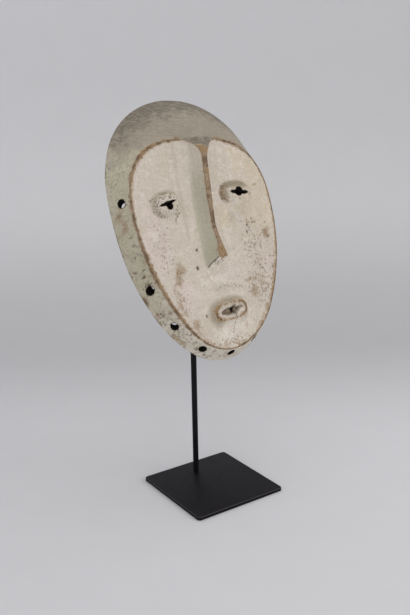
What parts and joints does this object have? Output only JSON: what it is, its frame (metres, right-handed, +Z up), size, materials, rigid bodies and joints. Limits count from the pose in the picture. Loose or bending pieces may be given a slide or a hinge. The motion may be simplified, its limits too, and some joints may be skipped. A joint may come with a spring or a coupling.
{
  "type": "carved oval face mask on stand",
  "caption": "Oval carved wood face mask with a heart-shaped pale face, slit eyes and bored rim, leaning back on a slim black rod and square plate.",
  "frame": {"origin": "centre of the underside of the stand's square plate", "axes": "+Z up along the stand's rod, -Y the way the face looks, +X to the right of a viewer who faces the mask"},
  "size_m": [0.1906, 0.1197, 0.3947],
  "materials": {
    "coated_wood": "dry matte pale clay rubbed over carved wood, with grey-green sides, dark forehead and brown worn edges",
    "black_rod": "satin black paint on round steel bar",
    "black_plate": "satin to matte black powder coat with soft reflections"
  },
  "bodies": {
    "root": {"mask": "coated_wood", "stand_rod": "black_rod", "stand_plate": "black_plate"}
  },
  "joints": []
}
